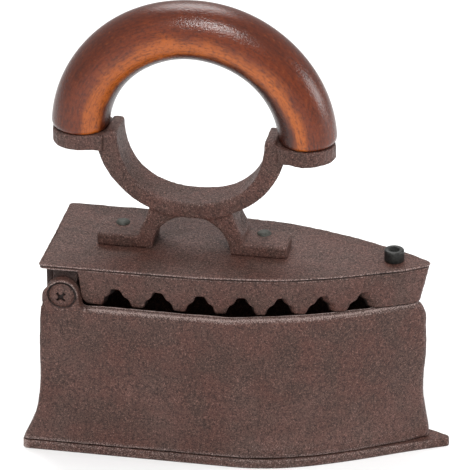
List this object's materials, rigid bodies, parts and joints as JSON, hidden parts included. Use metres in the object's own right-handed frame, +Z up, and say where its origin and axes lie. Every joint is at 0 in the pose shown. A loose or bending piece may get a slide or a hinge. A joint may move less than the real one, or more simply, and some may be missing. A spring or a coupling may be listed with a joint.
{
  "type": "charcoal clothes iron",
  "caption": "Hollow cast-iron charcoal clothes iron with a hinged toothed lid, a turning nose latch and a half-ring wooden grip on a cast bracket.",
  "frame": {"origin": "middle of the sole's underside, on the surface that the iron stands on", "axes": "+X forward to the nose, +Y to the left side, +Z up"},
  "size_m": [0.184, 0.0712, 0.2009],
  "materials": {
    "cast_iron": "matt brown, rough sand-cast skin with worn edges",
    "grate_iron": "sooty, matt",
    "varnished_wood": "glossy reddish-brown varnish",
    "black_steel": "blackened, satin",
    "zinc_steel": "dull plated",
    "painted_screw": "coated with the castings, matt brown",
    "rivet_iron": "dark greenish grey, hammered"
  },
  "bodies": {
    "base": {"sole_plate": "cast_iron", "base_casting": "cast_iron", "sole_screws": "zinc_steel", "coal_grate": "grate_iron", "hinge_screw_right": "painted_screw", "hinge_screw_left": "painted_screw", "hinge_washer_right": "zinc_steel", "hinge_washer_left": "zinc_steel", "hinge_nut_right": "zinc_steel", "hinge_nut_left": "zinc_steel"},
    "lid": {"lid_casting": "cast_iron", "handle_bracket": "cast_iron", "wood_grip": "varnished_wood", "grip_screw_rear": "painted_screw", "grip_screw_front": "painted_screw", "handle_rivet_rear": "rivet_iron", "handle_rivet_front": "rivet_iron", "rivet_burr_rear": "rivet_iron", "rivet_burr_front": "rivet_iron"},
    "latch": {"nose_screw": "black_steel", "latch_washer": "zinc_steel", "latch_nut": "zinc_steel", "latch_toggle": "black_steel", "toggle_pin": "zinc_steel"}
  },
  "joints": [
    {"name": "lid_hinge", "type": "hinge", "parent": "base", "child": "lid", "pos_m": [-0.073, 0, 0.0754], "axis": [0, -1, 0], "range_deg": [0, 85]},
    {"name": "latch_turn", "type": "hinge", "parent": "lid", "child": "latch", "pos_m": [0.0654, 0, 0.0888], "axis": [0, 0, 1], "range_deg": [0, 90]}
  ]
}
